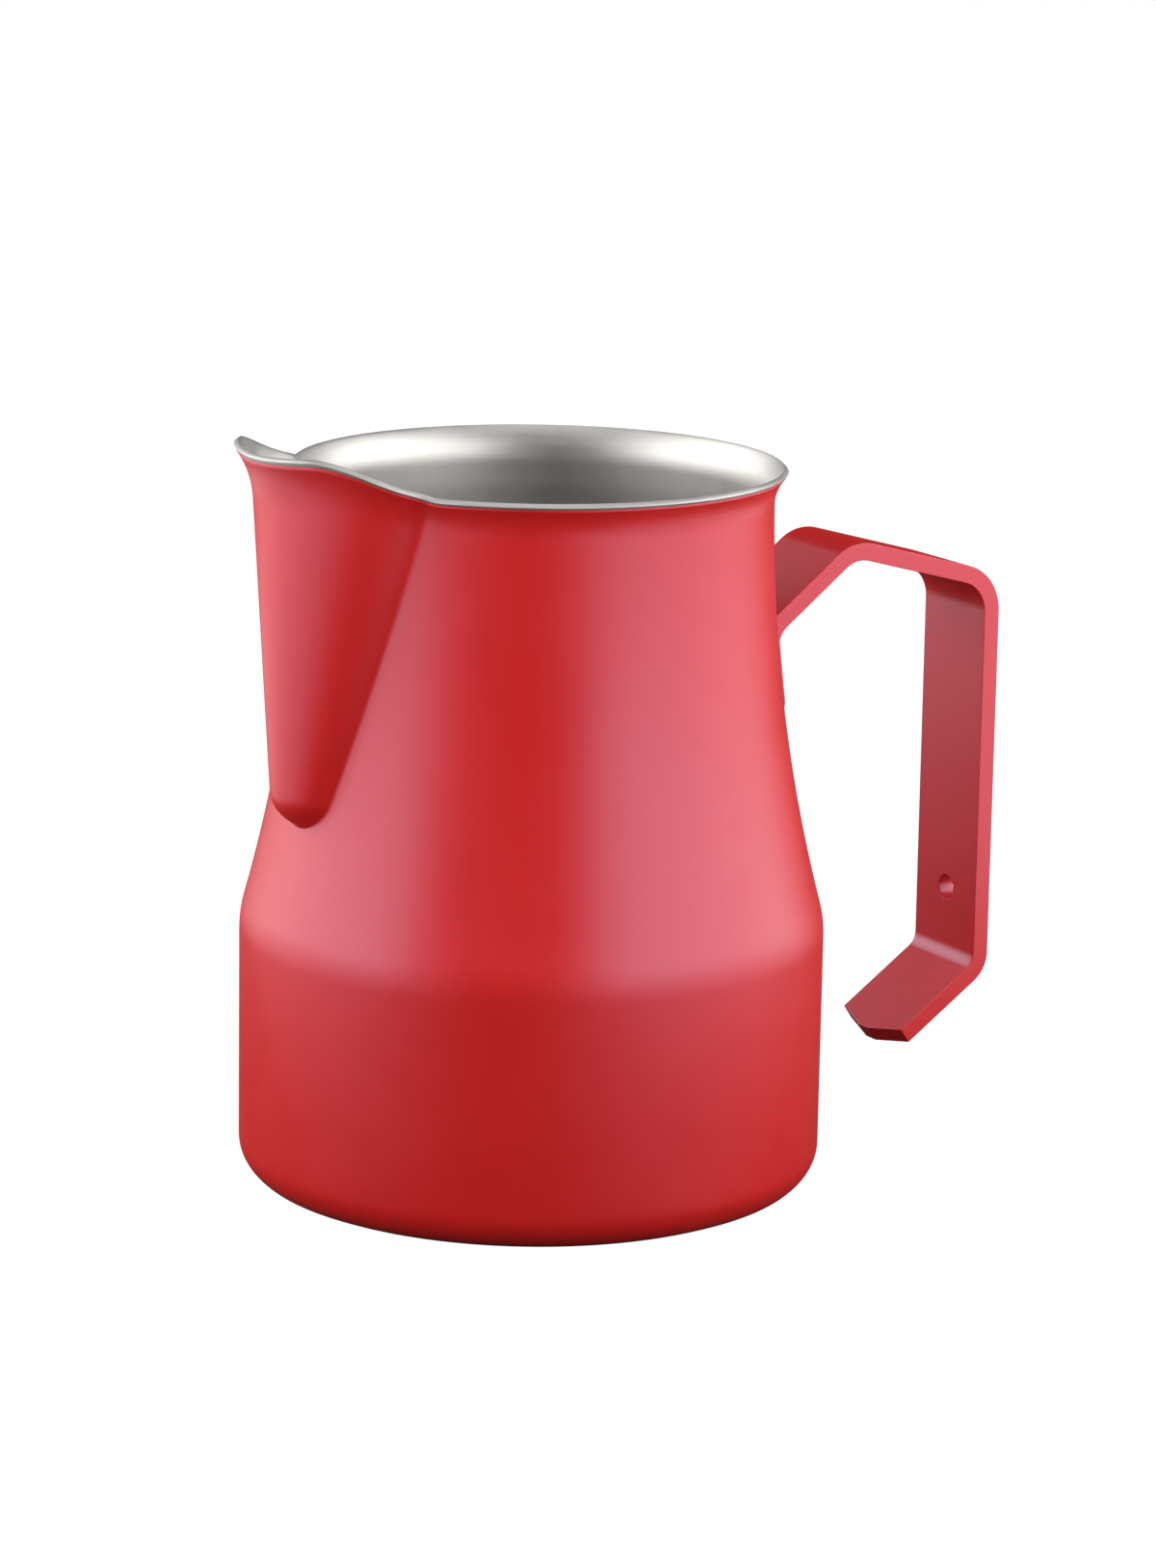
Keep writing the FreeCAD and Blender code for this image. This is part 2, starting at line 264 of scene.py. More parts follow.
def wall_radius(angle, z, front, below_rim):
    centre, radius = spout_circle(z)
    beside = centre * angle.math("SINE")
    reach = centre * angle.math("COSINE") + root(larger(radius * radius - beside * beside, 0.0))
    faces_front = angle.math("COSINE").math("GREATER_THAN", 0.0)
    reach = reach * faces_front * radius.math("GREATER_THAN", 0.0)
    return soft_larger(round_wall(z), reach, spout_crease_blend) + lip_turn(front, below_rim)


# %% [markdown]
# ## A grid that bends with the metal
#
# A plain grid would cut across the crease and the lip and leave them jagged. So the grid's rows
# are counted out by stretch, most of them where the metal bends, and its columns crowd along the
# crease and move with it. The list of stretches says how many rows go to each part of the profile:
# the flat base with its pressed groove, the corner, the wall, the nose of the spout, and the lip.

# %% Rows of the profile, from the middle of the base to the rim
profile = [
    (5, "flat", bead_radius - bead_half_width - 0.3 * mm),
    (16, "flat", bead_radius + bead_half_width + 0.3 * mm),
    (3, "flat", body_radius - base_corner_radius),
    (14, "turn", math.pi / 2.0),
    (10, "level", shoulder_height - 2.0 * mm),
    (18, "level", arcs_touch_height + 2.0 * mm),
    (10, "level", nose_height),
    (20, "level", spout_low_height),
    (38, "level", lip_base),
    (22, "level", rim_height),
]
row_count = sum(rows for rows, _, _ in profile)
columns = [24, 20, 62]           # quads from the front to the crease, across it, and to the back
crease_band = math.radians(5.2)  # half of the width that the crowded columns take
column_count = 2 * sum(columns)
print("grid:", column_count, "columns and", row_count, "rows")


def profile_run(share):
    """The flat radius, the corner's turn and the level that a share of the rows stands for."""
    run = {"flat": 0.0, "turn": 0.0, "level": base_corner_radius}
    value = dict(run)
    done = 0
    for rows, name, target in profile:
        step = ramp(share, done / row_count, (done + rows) / row_count)
        if target == spout_low_height:
            step = step * step       # the nose closes quickly, so its first rows lie close
        value[name] = value[name] + step * (target - run[name])
        run[name] = target
        done += rows
    return value["flat"], value["turn"], value["level"]


def column_angle(share, level):
    """Angle from the front, 0 to pi, of a column that is a share of the way to the back."""
    spread = 1.0 - smooth_ramp(level, shoulder_height, spout_low_height)
    least = mix(math.radians(8.0), lip_crease, spread)
    crease = soft_larger(crease_angle(level), least, math.radians(2.0))
    front_end = columns[0] / sum(columns)
    band_end = (columns[0] + columns[1]) / sum(columns)
    angle = (crease - crease_band) * ramp(share, 0.0, front_end)
    angle = angle + (2.0 * crease_band) * ramp(share, front_end, band_end)
    return angle + (math.pi - crease_band - crease) * ramp(share, band_end, 1.0)


# %% [markdown]
# ## Pressing the sheet
#
# The tree makes the grid, moves every point to its place by the rule, closes the seam at the back
# and the pole under the base, and pushes the sheet out along its normals by a given amount. The
# same tree then serves twice. Pushed by nothing it is the outside of the steel. Pushed out by the
# coat's thickness, and cut short at the rim and at the base corner, it is the face of the powder.

# %% Small helpers for node trees
def node(tree, kind, *values, **settings):
    """Adds a node, sets its properties and feeds its inputs in order. None leaves one alone."""
    made = tree.nodes.new(kind)
    for name, value in settings.items():
        setattr(made, name, value)
    for slot, value in zip(made.inputs, values):
        if value is not None:
            feed(tree, value, slot)
    return made


def new_tree(name, kind, inputs, outputs):
    """A node group with named sockets. Returns it with its input and output nodes."""
    tree = bpy.data.node_groups.new(name, kind)
    for label, socket, value in inputs:
        made = tree.interface.new_socket(label, in_out="INPUT", socket_type="NodeSocket" + socket)
        if value is not None:
            made.default_value = value
    for label, socket in outputs:
        tree.interface.new_socket(label, in_out="OUTPUT", socket_type="NodeSocket" + socket)
    return tree, tree.nodes.new("NodeGroupInput"), tree.nodes.new("NodeGroupOutput")


def store(tree, mesh, name, value, kind="FLOAT", domain="POINT"):
    made = node(tree, "GeometryNodeStoreNamedAttribute", data_type=kind, domain=domain)
    feed(tree, mesh, made.inputs["Geometry"])
    made.inputs["Name"].default_value = name
    feed(tree, value, made.inputs["Value"])
    return made.outputs[0]


def place(tree, x, y, z):
    return node(tree, "ShaderNodeCombineXYZ", x, y, z).outputs[0]


# %% The pressed sheet as a Geometry Nodes tree
def pressed_sheet_tree():
    tree, given, result = new_tree(
        "Pressed sheet",
        "GeometryNodeTree",
        [("Columns", "Int", column_count), ("Rows", "Int", row_count),
         ("First row", "Float", 0.0), ("Last row", "Float", float(row_count)),
         ("Push", "Float", 0.0), ("Material", "Material", None)],
        [("Mesh", "Geometry")],
    )
    one_more = [node(tree, "ShaderNodeMath", given.outputs[k], 1.0).outputs[0] for k in (0, 1)]
    grid = node(tree, "GeometryNodeMeshGrid", 1.0, 1.0, *one_more)
    flat_place = node(tree, "GeometryNodeInputPosition").outputs[0]
    split = node(tree, "ShaderNodeSeparateXYZ", flat_place)
    side = Number(tree, split.outputs[0]) * -2.0
    rows = Number(tree, given.outputs[1])
    row = (Number(tree, split.outputs[1]) + 0.5) * rows
    row = within(row, given.outputs[2], given.outputs[3])
    flat, turn, level = profile_run(row / rows)

    angle = column_angle(side.math("ABSOLUTE"), level) * side.math("SIGN")
    front = spout_share(angle)
    dip = 1.0 - smooth_ramp(angle.math("ABSOLUTE"), 0.0, 0.8 * rim_crease)
    rim = front * spout_rim_rise + rim_height - dip * spout_tip_dip
    lifted = larger(level - lip_base, 0.0) * (rim - rim_height) / (rim_height - lip_base)
    z = level + lifted
    below_rim = rim - z
    radius = wall_radius(angle, z, front, below_rim) - body_radius
    radius = radius + flat + base_corner_radius * turn.math("SINE")
    off_bead = (flat - bead_radius).math("ABSOLUTE")
    groove = smooth_ramp(bead_half_width - off_bead, 0.0, bead_rise * 1.4) * bead_rise
    height = z - base_corner_radius * turn.math("COSINE") + groove

    x = radius * angle.math("COSINE") * -1.0
    y = radius * angle.math("SINE")
    moved = node(tree, "GeometryNodeSetPosition", grid.outputs[0], None,
                 place(tree, x, y, height)).outputs[0]
    moved = store(tree, moved, "below_rim", below_rim)
    moved = store(tree, moved, "UVMap", grid.outputs[1], "FLOAT2", "CORNER")
    closed = node(tree, "GeometryNodeMergeByDistance", moved)
    closed.inputs["Distance"].default_value = 0.004 * mm
    normal = node(tree, "GeometryNodeInputNormal").outputs[0]
    pushed = node(tree, "ShaderNodeVectorMath", normal, operation="SCALE")
    feed(tree, given.outputs[4], pushed.inputs["Scale"])
    grown = node(tree, "GeometryNodeSetPosition", closed.outputs[0], None, None,
                 pushed.outputs[0]).outputs[0]
    smooth = node(tree, "GeometryNodeSetShadeSmooth", grown).outputs[0]
    real = node(tree, "GeometryNodeRealizeInstances", smooth).outputs[0]
    painted = node(tree, "GeometryNodeSetMaterial", real, None, given.outputs[5]).outputs[0]
    feed(tree, painted, result.inputs[0])
    return tree


pressed_sheet = pressed_sheet_tree()
print("pressed sheet tree:", len(pressed_sheet.nodes), "nodes")


# %% Turn a tree into a plain mesh
def as_plain_mesh(source):
    """The object's mesh with its modifiers worked in, and the modifiers taken off."""
    graph = bpy.context.evaluated_depsgraph_get()
    made = bpy.data.meshes.new_from_object(
        source.evaluated_get(graph), preserve_all_data_layers=True, depsgraph=graph)
    source.modifiers.clear()
    source.data = made
    made.name = source.name
    return source


def put_in_scene(name, mesh):
    made = bpy.data.objects.new(name, mesh)
    bpy.context.scene.collection.objects.link(made)
    return made


def run_tree(piece, tree, **values):
    """Adds the tree as a modifier and sets its inputs by the identifiers of their sockets."""
    modifier = piece.modifiers.new(tree.name, "NODES")
    modifier.node_group = tree
    for item in tree.interface.items_tree:
        if item.in_out == "INPUT" and item.name in values:
            modifier[item.identifier] = values[item.name]
    return modifier


def row_at(name, target):
    """Row number at which the profile reaches a value."""
    reached, done = {"flat": 0.0, "turn": 0.0, "level": base_corner_radius}, 0
    for rows, stretch, end in profile:
        start = reached[stretch]
        if stretch == name and start <= target <= end:
            return done + rows * (target - start) / (end - start)
        reached[stretch] = end
        done += rows


# %% [markdown]
# ## The steel cup
#
# The cup is the sheet itself, 0.8 mm thick. A Solidify modifier gives it that thickness on the
# inside, as the press leaves the outside at the die's size. A Bevel takes the sharpness off the
# cut edge of the rim, which on the real cup is tumbled smooth.

# %% Make the steel cup
def thicken(piece, thickness, offset, even=True):
    wall = piece.modifiers.new("Wall", "SOLIDIFY")
    wall.thickness = thickness
    wall.offset = offset
    wall.use_even_offset = even
    wall.use_quality_normals = True
    return wall


def soften(piece, width, segments, angle):
    edge = piece.modifiers.new("Soft edges", "BEVEL")
    edge.width = width
    edge.segments = segments
    edge.limit_method = "ANGLE"
    edge.angle_limit = math.radians(angle)
    return edge


def report(piece):
    piece.data.update()
    triangles = sum(len(face.vertices) - 2 for face in piece.data.polygons)
    corners = [Vector(corner) for corner in piece.bound_box]
    low = [round(min(c[k] for c in corners) / mm, 2) for k in range(3)]
    high = [round(max(c[k] for c in corners) / mm, 2) for k in range(3)]
    print(piece.name, triangles, "triangles, box in mm", low, high)


steel_cup = put_in_scene("steel_cup", bpy.data.meshes.new("sheet"))
run_tree(steel_cup, pressed_sheet)
thicken(steel_cup, wall_thickness, -1.0)
soften(steel_cup, 0.18 * mm, 2, 60.0)
as_plain_mesh(steel_cup)
report(steel_cup)

# %% [markdown]
# ## The powder on the cup
#
# Powder coating is sprayed on dry and melts into a skin of about a tenth of a millimetre. It stops
# just under the rim, where the cut edge is wiped clean, and on the base corner, where the cup
# stands on the tray. Here it is its own thin shell from the same tree, so it follows every bend.

# %% Make the coat of the cup
cup_coat = put_in_scene("red_coat_cup", bpy.data.meshes.new("skin"))
run_tree(
    cup_coat,
    pressed_sheet,
    **{
        "First row": row_at("turn", coat_foot_turn),
        "Last row": row_at("level", rim_height - rim_gap),
        "Push": coat_thickness,
    },
)
thicken(cup_coat, coat_thickness, -1.0)
as_plain_mesh(cup_coat)
report(cup_coat)

# %% [markdown]
# ## The bent strip
#
# The handle is a flat strip, blanked with a rounded foot, a clipped free end and one hanging hole,
# and then bent in one plane over four pins. The tree works in the same order. It rounds the
# corners of the bend line with Fillet Curve, each by its own radius, sweeps a straight line along
# it to get a ribbon, and narrows the ribbon at both ends to the blank's outline. The foot is
# pressed round, so points that would lie inside the neck are moved out onto it.

# %% Corners of the strip's bend line
strip_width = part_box("handle_strap")[1].y * 2.0
strip_thickness = 2.4 * mm
foot_low, foot_high = 65.5 * mm, 79.2 * mm      # where the foot starts and ends on the neck
clip_across, clip_along = 6.5 * mm, 1.9 * mm    # the free end is clipped to a blunt point
foot_corner = 3.0 * mm
low_corner = Vector((body_radius + 33.7 * mm, 0.0, 22.8 * mm))
top_corner = Vector((body_radius + 33.5 * mm, 0.0, rim_height - 20.4 * mm))
hole = next(m for m in frame["record"]["mounts"] if m["name"] == "hang_hole")
hole_radius = hole["dims"]["r_mm"] * mm + coat_thickness


def round_wall_at(z):
    """The same wall rule as above, for a plain number in the neck arc."""
    return neck_radius + neck_arc_radius - math.sqrt(
        neck_arc_radius ** 2 - (neck_height - z) ** 2)


def foot_seat(z):
    """Where the foot's back stands so that its side edges touch the round neck."""
    return Vector((math.sqrt(round_wall_at(z) ** 2 - (strip_width / 2.0) ** 2), 0.0, z))


strip_corners = [      # a corner of the bend line and the radius over which it is bent
    (foot_seat(foot_low), 0.0),
    (foot_seat(foot_high), 6.0 * mm),
    (Vector((neck_radius + 15.85 * mm, 0.0, rim_height - 13.3 * mm)), 7.0 * mm),
    (top_corner, 7.5 * mm),
    (low_corner, 5.2 * mm),
    (Vector((body_radius + 18.2 * mm, 0.0, 12.0 * mm)), 0.0),
]


def with_end_rows(corners):
    """Adds points near both ends, where the outline narrows and the foot follows the neck."""
    first, last = corners[0][0], corners[-1][0]
    up = (corners[1][0] - first).normalized()
    back = (corners[-2][0] - last).normalized()
    steps = [foot_corner * (1.0 - math.cos(math.radians(turn))) for turn in (20, 40, 60, 75, 90)]
    steps += [foot_corner + 1.8 * mm * k for k in range(1, 4)]
    extra = [(first + up * step, 0.0) for step in steps]
    return [corners[0]] + extra + corners[1:-1] + [(last + back * clip_along, 0.0), corners[-1]]


bend_line = with_end_rows(strip_corners)
print("bend line:", len(bend_line), "points")


# %% The bent strip as a Geometry Nodes tree
def bent_strip_tree():
    tree, given, result = new_tree(
        "Bent strip",
        "GeometryNodeTree",
        [("Bend line", "Geometry", None), ("Width", "Float", strip_width),
         ("Clip across", "Float", clip_across), ("Clip along", "Float", clip_along),
         ("Foot corner", "Float", foot_corner),
         ("Bend points", "Int", 14), ("Across", "Int", 13), ("Material", "Material", None)],
        [("Mesh", "Geometry")],
    )
    line = node(tree, "GeometryNodeMeshToCurve", given.outputs[0]).outputs[0]
    radius = node(tree, "GeometryNodeInputNamedAttribute", "bend_radius", data_type="FLOAT")
    bends = Number(tree, radius.outputs[0]).math("GREATER_THAN", 0.0)
    count = bends * given.outputs[5] + (1.0 - bends)
    rounded = node(tree, "GeometryNodeFilletCurve")
    rounded.mode = "POLY"
    feed(tree, line, rounded.inputs["Curve"])
    feed(tree, count, rounded.inputs["Count"])
    feed(tree, radius.outputs[0], rounded.inputs["Radius"])
    run = Number(tree, node(tree, "GeometryNodeSplineParameter").outputs["Length"])
    whole = node(tree, "GeometryNodeCurveLength", rounded.outputs[0]).outputs[0]
    spine = node(tree, "GeometryNodeInputPosition").outputs[0]
    path = store(tree, rounded.outputs[0], "spine", spine, "FLOAT_VECTOR")
    path = store(tree, path, "along", run)
    path = store(tree, path, "left", Number(tree, whole) - run)

    rule = node(tree, "GeometryNodeCurvePrimitiveLine")
    rule.inputs["Start"].default_value = (-1.0, 0.0, 0.0)
    rule.inputs["End"].default_value = (1.0, 0.0, 0.0)
    steps = node(tree, "GeometryNodeResampleCurve", rule.outputs[0])
    feed(tree, given.outputs[6], steps.inputs["Count"])
    across = node(tree, "ShaderNodeSeparateXYZ", node(tree, "GeometryNodeInputPosition").outputs[0])
    section = store(tree, steps.outputs[0], "side", across.outputs[0])
    ribbon = node(tree, "GeometryNodeCurveToMesh", path, section).outputs[0]

    def read(name, kind="FLOAT"):
        made = node(tree, "GeometryNodeInputNamedAttribute", name, data_type=kind)
        return made.outputs[0]

    place_now = node(tree, "ShaderNodeSeparateXYZ", read("spine", "FLOAT_VECTOR"))
    along, left, side = (Number(tree, read(name)) for name in ("along", "left", "side"))
    corner = Number(tree, given.outputs[4])
    half = Number(tree, given.outputs[1]) * 0.5
    short = corner - along.math("MINIMUM", corner)
    half = half - corner + root(corner * corner - short * short)
    half = half - larger(1.0 - left / given.outputs[3], 0.0) * given.outputs[2]
    y = half * side
    z = Number(tree, place_now.outputs[2])
    neck = round_wall(z)
    x = larger(Number(tree, place_now.outputs[0]), root(neck * neck - y * y))
    shaped = node(tree, "GeometryNodeSetPosition", ribbon, None, place(tree, x, y, z)).outputs[0]
    merged = node(tree, "GeometryNodeMergeByDistance", shaped)
    merged.inputs["Distance"].default_value = 0.004 * mm
    smooth = node(tree, "GeometryNodeSetShadeSmooth", merged.outputs[0]).outputs[0]
    real = node(tree, "GeometryNodeRealizeInstances", smooth).outputs[0]
    painted = node(tree, "GeometryNodeSetMaterial", real, None, given.outputs[7]).outputs[0]
    feed(tree, painted, result.inputs[0])
    return tree


bent_strip = bent_strip_tree()
print("bent strip tree:", len(bent_strip.nodes), "nodes")

# %% [markdown]
# ## From ribbon to strip
#
# Solidify gives the ribbon its 2.4 mm. The hole is punched with a Boolean, and then one Bevel
# breaks all the sharp edges together, the hole's as well, as a tumbler would. Weighted normals
# keep the broad faces flat beside the rounded edges.

# %% Make the steel strip
bend_mesh = bpy.data.meshes.new("bend_line")
bend_mesh.from_pydata([corner for corner, _ in bend_line],
                      [(k, k + 1) for k in range(len(bend_line) - 1)], [])
radii = bend_mesh.attributes.new("bend_radius", "FLOAT", "POINT")
radii.data.foreach_set("value", [radius for _, radius in bend_line])
steel_strip = put_in_scene("steel_strip", bend_mesh)
run_tree(steel_strip, bent_strip)
as_plain_mesh(steel_strip)
report(steel_strip)


def round_punch(centre, axis, radius, reach):
    """A cylinder with its place in its mesh, to punch with."""
    turn = Vector(axis).to_track_quat("Z", "Y").to_matrix().to_4x4()
    shape = bmesh.new()
    bmesh.ops.create_cone(shape, cap_ends=True, segments=48, radius1=radius, radius2=radius,
                          depth=2.0 * reach, matrix=Matrix.Translation(centre) @ turn)
    mesh = bpy.data.meshes.new("punch")
    shape.to_mesh(mesh)
    shape.free()
    return put_in_scene("punch", mesh)


punch = round_punch(Vector(hole["pos_m"]), hole["axis"], hole_radius, 3.0 * strip_thickness)
thicken(steel_strip, strip_thickness, 1.0)
hang_hole = steel_strip.modifiers.new("Hanging hole", "BOOLEAN")
hang_hole.object = punch
hang_hole.solver = "EXACT"
soften(steel_strip, 0.5 * mm, 4, 50.0)
even = steel_strip.modifiers.new("Flat faces", "WEIGHTED_NORMAL")
as_plain_mesh(steel_strip)
bpy.data.objects.remove(punch)
report(steel_strip)

# %% [markdown]
# ## The powder on the strip
#
# The same tenth of a millimetre, now as a shell all round the finished strip. The hole is coated
# through, so it ends up a little narrower than it was punched.

# %% Make the coat of the strip
strip_coat = put_in_scene("red_coat_strip", steel_strip.data.copy())
thicken(strip_coat, coat_thickness, 1.0, even=False)
even = strip_coat.modifiers.new("Flat faces", "WEIGHTED_NORMAL")
as_plain_mesh(strip_coat)
report(strip_coat)

# %% [markdown]
# ## Finishes that are shared
#
# The coat and the steel share a few effects, each a shader node group with named inputs: the fine
# grain and the slow orange peel of baked powder, cloudy marks where hands and cloths have been, the
# turned lines of a polished drawn cup, and edges where a finish thins, a band that on the powder is
# also a painted highlight. A group puts out only masks and heights. The materials below decide what
# colour, roughness or bump they become.

# %% Helpers for shader trees
def noise(tree, place_now, scale, detail, roughness=0.5):
    made = tree.nodes.new("ShaderNodeTexNoise")
    feed(tree, place_now, made.inputs["Vector"])
    feed(tree, scale, made.inputs["Scale"])
    made.inputs["Detail"].default_value = detail
    made.inputs["Roughness"].default_value = roughness
    return Number(tree, made.outputs[0])


def shader_group(name, inputs, outputs):
    tree, given, result = new_tree(name, "ShaderNodeTree", inputs, outputs)
    for item in tree.interface.items_tree:
        if item.socket_type == "NodeSocketVector" and item.in_out == "INPUT":
            item.hide_value = True
    return tree, given, result


# %% Powder grain
def powder_grain_group():
    tree, given, result = shader_group(
        "Powder grain",
        [("Place", "Vector", None), ("Grain size", "Float", 0.35 * mm),
         ("Peel size", "Float", 2.2 * mm), ("Peel share", "Float", 0.6)],
        [("Height", "Float"), ("Shade", "Float")],
    )
    spot, grain_size, peel_size, peel_share = given.outputs[:4]
    grain = noise(tree, spot, Number(tree, grain_size).math("POWER", -1.0), 2.0)
    peel = noise(tree, spot, Number(tree, peel_size).math("POWER", -1.0), 1.0)
    height = mix(grain, peel, Number(tree, peel_share))
    feed(tree, height, result.inputs[0])
    feed(tree, ramp(grain, 0.35, 0.65), result.inputs[1])
    return tree


powder_grain = powder_grain_group()


# %% Cloudy marks
def cloudy_marks_group():
    tree, given, result = shader_group(
        "Cloudy marks",
        [("Place", "Vector", None), ("Size", "Float", 25.0 * mm)],
        [("Mask", "Float")],
    )
    spot = given.outputs[0]
    scale = Number(tree, given.outputs[1]).math("POWER", -1.0)
    slow = noise(tree, spot, scale, 3.0, 0.55)
    quick = noise(tree, spot, scale * 6.0, 2.0, 0.6)
    feed(tree, smooth_ramp(slow * 0.75 + quick * 0.25, 0.38, 0.62), result.inputs[0])
    return tree


cloudy_marks = cloudy_marks_group()


# %% Thin edges, also a painted highlight on the powder
def thin_edge_and_highlight_group():
    tree, given, result = shader_group(
        "Thin edge and painted highlight",
        [("Place", "Vector", None), ("From edge", "Float", 1.0), ("Width", "Float", 0.4 * mm)],
        [("Mask", "Float")],
    )
    spot = given.outputs[0]
    # The mask marks a band along an edge. It stands for thin powder and also for a painted
    # highlight.
    rough = noise(tree, spot, 900.0, 2.0) * 1.2 + 0.4
    width = Number(tree, given.outputs[2]) * rough
    share = within(Number(tree, given.outputs[1]) / width, 0.0, 1.0)
    feed(tree, (1.0 - share) * (1.0 - share), result.inputs[0])
    return tree


thin_edge_and_highlight = thin_edge_and_highlight_group()


# %% Turned lines
def turned_lines_group():
    """Fine rings round the Z axis, slightly uneven, as polishing in a lathe leaves them."""
    tree, given, result = shader_group(
        "Turned lines",
        [("Place", "Vector", None), ("Spacing", "Float", 0.25 * mm)],
        [("Height", "Float"), ("Shade", "Float")],
    )
    split = node(tree, "ShaderNodeSeparateXYZ", given.outputs[0])
    x, y, z = (Number(tree, split.outputs[k]) for k in range(3))
    out = root(x * x + y * y)
    run = (z + out * 0.8) / given.outputs[1]
    ring = place(tree, x * 14.0, y * 14.0, run)
    fine = noise(tree, ring, 1.0, 3.0, 0.6)
    broad = noise(tree, ring, 0.12, 2.0, 0.5)
    feed(tree, fine * 0.7 + broad * 0.3, result.inputs[0])
    feed(tree, ramp(broad, 0.3, 0.7), result.inputs[1])
    return tree


turned_lines = turned_lines_group()
print("shader groups:", sorted(group.name for group in bpy.data.node_groups
                               if group.bl_idname == "ShaderNodeTree"))

# %% [markdown]
# ## Red powder coat
#
# The real finish is a satin to matt red. Nearly all of its colour is in the body of the powder, and
# its surface adds a weak, soft, slightly cool reflection, which is what turns the red pink where a
# broad lamp is mirrored. A plain dielectric of middling roughness does that. Its specular tint is
# a constant on the shader's own socket. Grain and peel go into bump and roughness, the marks into
# roughness, and along edges and just below the rim the powder is painted a little paler and pinker,
# partly for powder that thins over an edge and partly as a painted highlight.

# %% Make a material with the pieces that all of them share
def new_material(name, metallic=0.0, ior=1.5):
    made = bpy.data.materials.new(name)
    made.use_nodes = True
    tree = made.node_tree
    shader = tree.nodes["Principled BSDF"]
    shader.inputs["Metallic"].default_value = metallic
    shader.inputs["IOR"].default_value = ior
    spot = node(tree, "ShaderNodeTexCoord").outputs["Object"]
    return made, tree, shader, spot


def use_group(tree, group, spot, **values):
    made = tree.nodes.new("ShaderNodeGroup")
    made.node_tree = group
    feed(tree, spot, made.inputs["Place"])
    for name, value in values.items():
        feed(tree, value, made.inputs[name])
    return [Number(tree, output) for output in made.outputs]


def blend_colours(tree, share, one, other):
    made = tree.nodes.new("ShaderNodeMix")
    made.data_type = "RGBA"
    feed(tree, share, made.inputs[0])
    feed(tree, one, made.inputs[6])
    feed(tree, other, made.inputs[7])
    return made.outputs[2]


def bump(tree, shader, height, distance, strength):
    made = tree.nodes.new("ShaderNodeBump")
    made.inputs["Strength"].default_value = strength
    made.inputs["Distance"].default_value = distance
    feed(tree, height, made.inputs["Height"])
    feed(tree, made.outputs[0], shader.inputs["Normal"])


# %% Powder coat
powder_red = (0.50, 0.0085, 0.0045, 1.0)
powder_red_deep = (0.47, 0.0065, 0.0036, 1.0)
# Paler, pinker red for edges: partly thin powder, partly a painted highlight.
powder_red_thin_and_highlight = (0.55, 0.026, 0.020, 1.0)


def powder_coat(name, edge_distance):
    """Red powder. Edge_distance gives how far a point is from the nearest edge of the piece."""
    made, tree, shader, spot = new_material(name)
    shader.inputs["Specular Tint"].default_value = (0.42, 0.72, 1.0, 1.0)
    shader.inputs["Specular IOR Level"].default_value = 0.8
    height, shade = use_group(tree, powder_grain, spot)
    (marks,) = use_group(tree, cloudy_marks, spot)
    (edge,) = use_group(tree, thin_edge_and_highlight, spot, **{"From edge": edge_distance(tree, spot)})
    body = blend_colours(tree, shade * 0.6 + marks * 0.4, powder_red_deep, powder_red)
    # Along edges and just below the rim the red is painted paler and pinker: partly thin powder,
    # partly a painted highlight.
    feed(tree, blend_colours(tree, edge * 0.5, body, powder_red_thin_and_highlight), shader.inputs["Base Color"])
    roughness = marks * 0.04 + shade * 0.03 - edge * 0.05 + 0.355
    feed(tree, roughness, shader.inputs["Roughness"])
    bump(tree, shader, height, 0.05 * mm, 0.25)
    return made


def below_the_rim(tree, spot):
    made = node(tree, "ShaderNodeAttribute", attribute_name="below_rim")
    return Number(tree, made.outputs["Fac"]) - rim_gap


def in_from_the_sides(tree, spot):
    y = Number(tree, node(tree, "ShaderNodeSeparateXYZ", spot).outputs[1])
    return (strip_width / 2.0 + coat_thickness) - y.math("ABSOLUTE")


red_cup = powder_coat("red_powder_cup", below_the_rim)
red_strip = powder_coat("red_powder_strip", in_from_the_sides)
print("powder coats:", red_cup.name, red_strip.name)

# %% [markdown]
# ## Satin steel
#
# The bare inside is polished in a lathe and then blasted to a soft satin: a metal with middling
# roughness and fine rings that catch the light. The rings are bump and a little roughness. The
# strip and the weld nuggets are the same steel, darker and rougher, and hardly show.

# %% Satin steel
def satin_steel(name, colour, roughness):
    made, tree, shader, spot = new_material(name, metallic=1.0)
    height, shade = use_group(tree, turned_lines, spot)
    (marks,) = use_group(tree, cloudy_marks, spot, Size=18.0 * mm)
    dark = tuple(value * 0.86 for value in colour[:3]) + (1.0,)
    body = blend_colours(tree, shade * 0.5 + marks * 0.5, dark, colour)
    feed(tree, body, shader.inputs["Base Color"])
    feed(tree, marks * 0.05 + shade * 0.05 + roughness, shader.inputs["Roughness"])
    bump(tree, shader, height, 0.02 * mm, 0.25)
    return made


inside_steel = satin_steel("satin_steel", (0.54, 0.525, 0.505, 1.0), 0.46)
strip_steel = satin_steel("strip_steel", (0.56, 0.55, 0.53, 1.0), 0.38)
weld_steel = satin_steel("weld_steel", (0.42, 0.40, 0.38, 1.0), 0.45)
print("steels:", inside_steel.name, strip_steel.name, weld_steel.name)

# %% [markdown]
# ## Finishes and ties
#
# Every piece is fixed to the one body, since nothing on this pitcher moves. Each says which solid
# of the frame it stands for and which material slot it fills. The weld nuggets have no visual
# piece of their own, so the solid that shows them gets a material instead.

